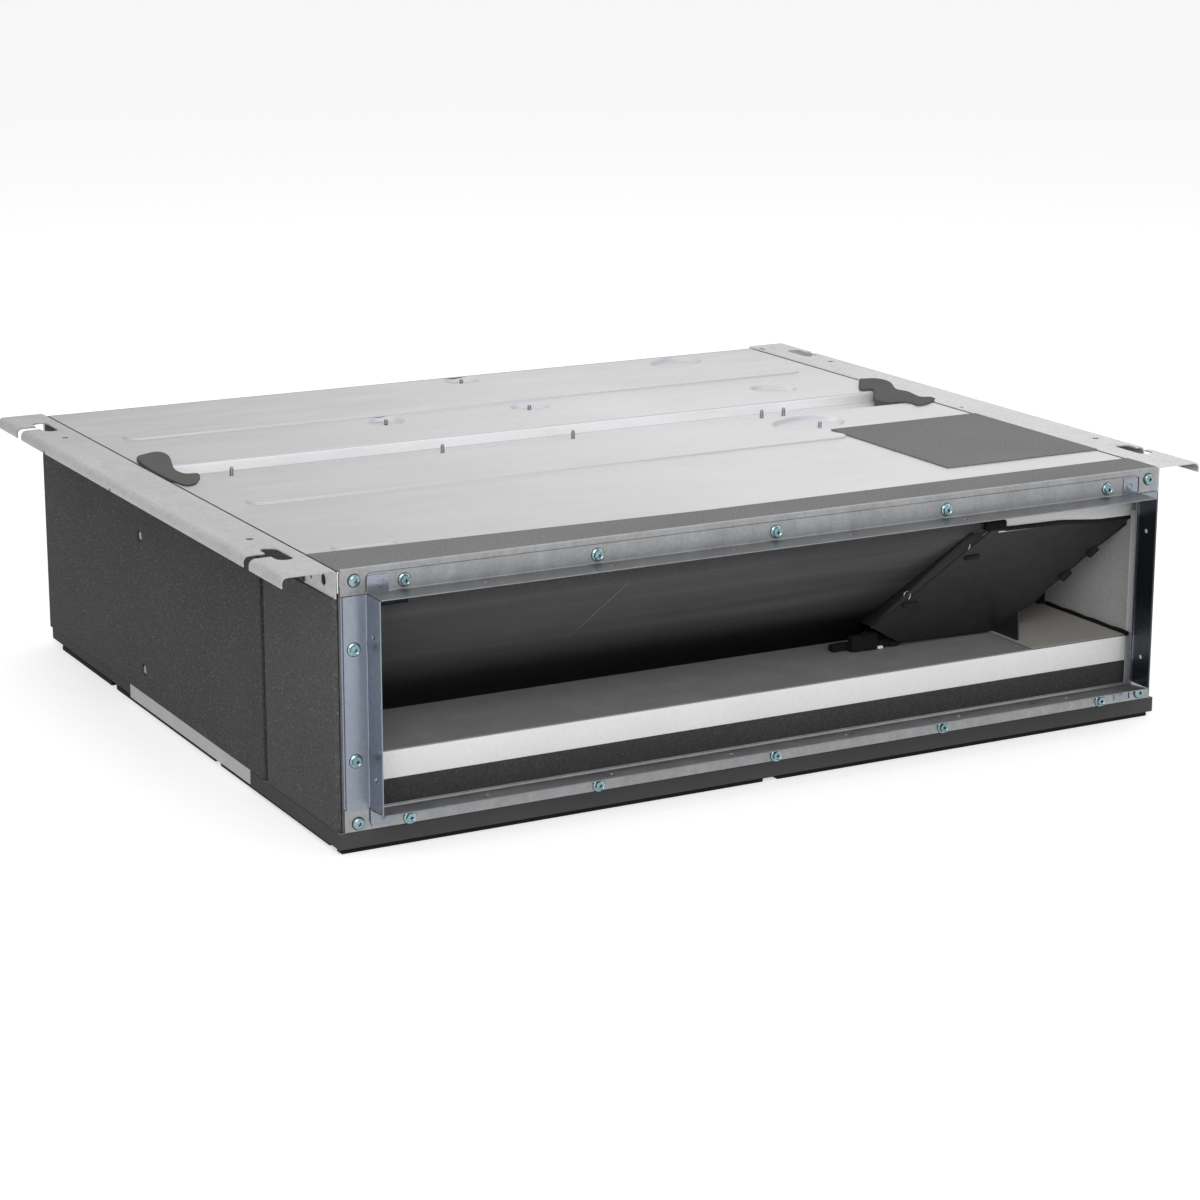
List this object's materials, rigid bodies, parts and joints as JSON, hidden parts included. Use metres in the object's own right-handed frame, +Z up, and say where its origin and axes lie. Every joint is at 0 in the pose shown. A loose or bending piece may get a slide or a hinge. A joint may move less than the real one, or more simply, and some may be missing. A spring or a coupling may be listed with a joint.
{
  "type": "ducted indoor unit",
  "caption": "Concealed ducted air conditioner indoor unit: slotted hanging rails, flanged outlet and inlet, slanted fin coil over a drain pan, sirocco fans on one motor.",
  "frame": {"origin": "middle of the footprint at the underside of the base foam", "axes": "+X right seen from the air outlet, -Y out of the air outlet, +Z up"},
  "size_m": [0.9606, 0.811, 0.25],
  "materials": {
    "galvanised": "hot-dip galvanised sheet, dull, with faint streaks",
    "galvanised_rail": "galvanised sheet, satin, a little darker than the panels",
    "side_insulation": "dark grey closed-cell insulation sheet, matt",
    "base_foam": "black foam sheet, matt",
    "top_foam": "mid grey foam sheet, matt, fine grain",
    "white_foam": "white expanded polystyrene, fine bead texture",
    "lining_foam": "grey lining foam, matt",
    "coil_fins": "aluminium fins with a dark coating",
    "copper": "drawn copper tube",
    "flare_brass": "machined brass",
    "black_plastic": "moulded black plastic",
    "grey_plastic": "moulded grey plastic",
    "shaft_steel": "ground steel",
    "motor_paint": "black painted motor shell"
  },
  "bodies": {
    "casing": {"base_panel_front": "galvanised", "base_panel_rear": "galvanised", "base_edge_tape": "side_insulation", "base_foam_front": "base_foam", "base_foam_rear": "base_foam", "side_panel_left": "galvanised", "side_panel_right": "galvanised", "side_foam_left_front": "side_insulation", "side_foam_left_rear": "side_insulation", "side_foam_right_front": "side_insulation", "side_foam_right_rear": "side_insulation", "hanging_rail_left": "galvanised_rail", "hanging_rail_right": "galvanised_rail", "top_panel_front": "galvanised", "top_panel_rear": "galvanised", "top_foam_strip": "top_foam", "top_foam_pad": "top_foam", "trough_seal_left": "top_foam", "trough_seal_right": "top_foam", "front_frame": "galvanised", "rear_frame": "galvanised", "outlet_flange_top": "galvanised", "outlet_flange_bottom": "galvanised", "outlet_flange_left": "galvanised", "outlet_flange_right": "galvanised", "inlet_flange_top": "galvanised", "inlet_flange_bottom": "galvanised", "inlet_flange_left": "galvanised", "inlet_flange_right": "galvanised", "top_lining": "white_foam", "wall_lining_left": "lining_foam", "wall_lining_right": "lining_foam", "drain_pan": "white_foam", "drain_pan_front_foam": "side_insulation", "drain_pan_liner": "lining_foam", "drain_outlet": "grey_plastic", "drain_collar": "grey_plastic", "coil_fins": "coil_fins", "coil_end_plate_left": "galvanised", "coil_end_plate_right": "galvanised", "coil_tube": "copper", "gas_pipe": "copper", "liquid_pipe": "copper", "flare_nut_gas": "flare_brass", "flare_nut_liquid": "flare_brass", "coil_end_cover": "black_plastic", "cover_gusset": "black_plastic", "fan_partition": "galvanised", "partition_header": "galvanised", "fan_housing_left": "black_plastic", "fan_housing_right": "black_plastic", "fan_motor": "motor_paint", "motor_bracket": "galvanised", "control_box": "galvanised", "control_box_lid": "galvanised"},
    "fan_rotor": {"fan_wheel_left": "grey_plastic", "fan_wheel_right": "grey_plastic", "fan_shaft": "shaft_steel"}
  },
  "joints": [
    {"name": "fan_spin", "type": "hinge", "parent": "casing", "child": "fan_rotor", "pos_m": [0, 0.2325, 0.12035], "axis": [1, 0, 0], "continuous": true}
  ]
}
